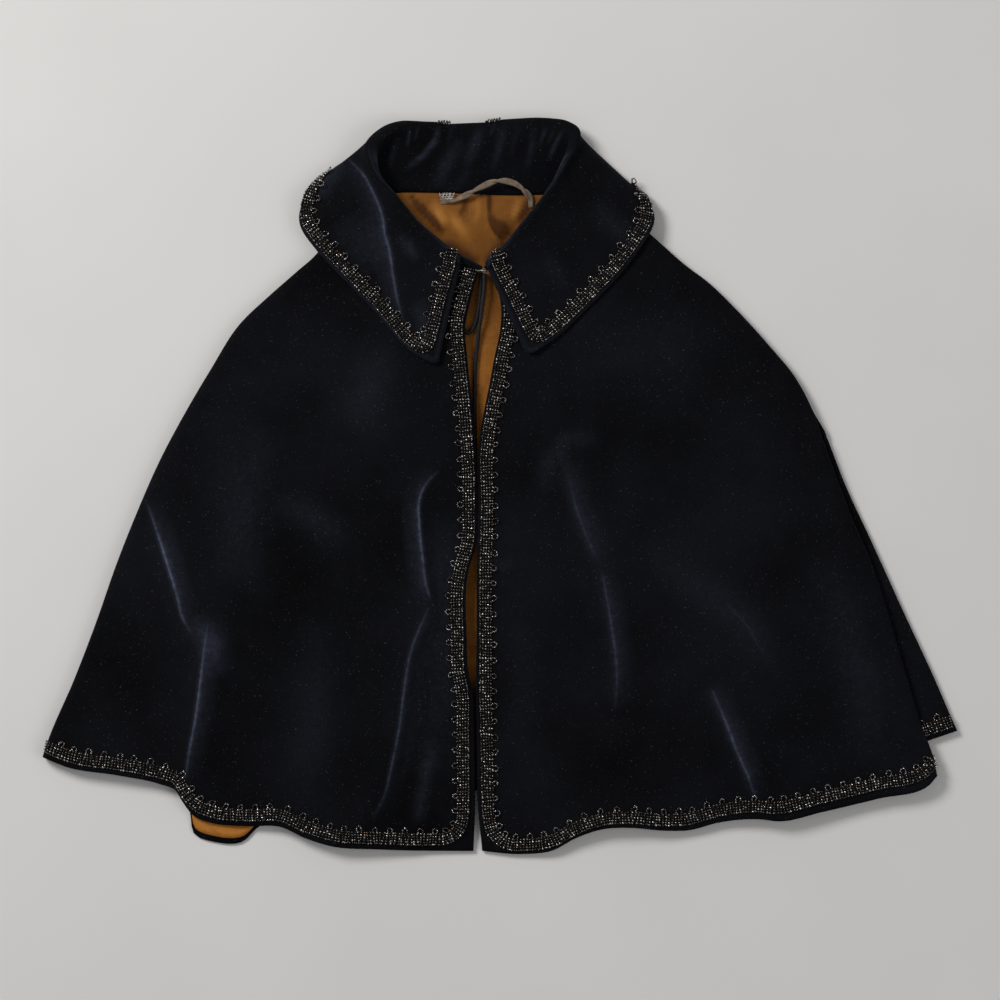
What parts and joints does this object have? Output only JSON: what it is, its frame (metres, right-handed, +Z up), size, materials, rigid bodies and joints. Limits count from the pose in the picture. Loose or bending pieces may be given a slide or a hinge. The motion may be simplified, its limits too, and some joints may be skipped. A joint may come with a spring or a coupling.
{
  "type": "velvet cape",
  "caption": "Short lined velvet cape with a turned-down two-lobed collar, beaded edges, a hanger tape and a neck cord, laid flat with its front upwards.",
  "frame": {"origin": "middle of the cape's outline, on the surface that it lies on", "axes": "+X to the right as the laid cape is looked down on, +Y from the hem to the collar, +Z up from the surface"},
  "size_m": [0.843, 0.6782, 0.029],
  "materials": {
    "velvet": "velvet pile",
    "lining": "smooth woven lining",
    "beads": "glossy beads",
    "cord": "twisted cord",
    "tape": "woven tape",
    "metal": "bent wire"
  },
  "bodies": {
    "root": {"front_left": "velvet", "front_right": "velvet", "back": "velvet", "back_lining": "lining", "collar": "velvet", "trim_front_left": "beads", "trim_front_right": "beads", "trim_pleat": "beads", "trim_collar_left": "beads", "trim_collar_right": "beads", "neck_cord": "cord", "neck_cord_loop": "cord", "cord_knot": "cord", "hanger_tape": "tape", "neck_hook": "metal", "neck_eye": "metal"}
  },
  "joints": []
}
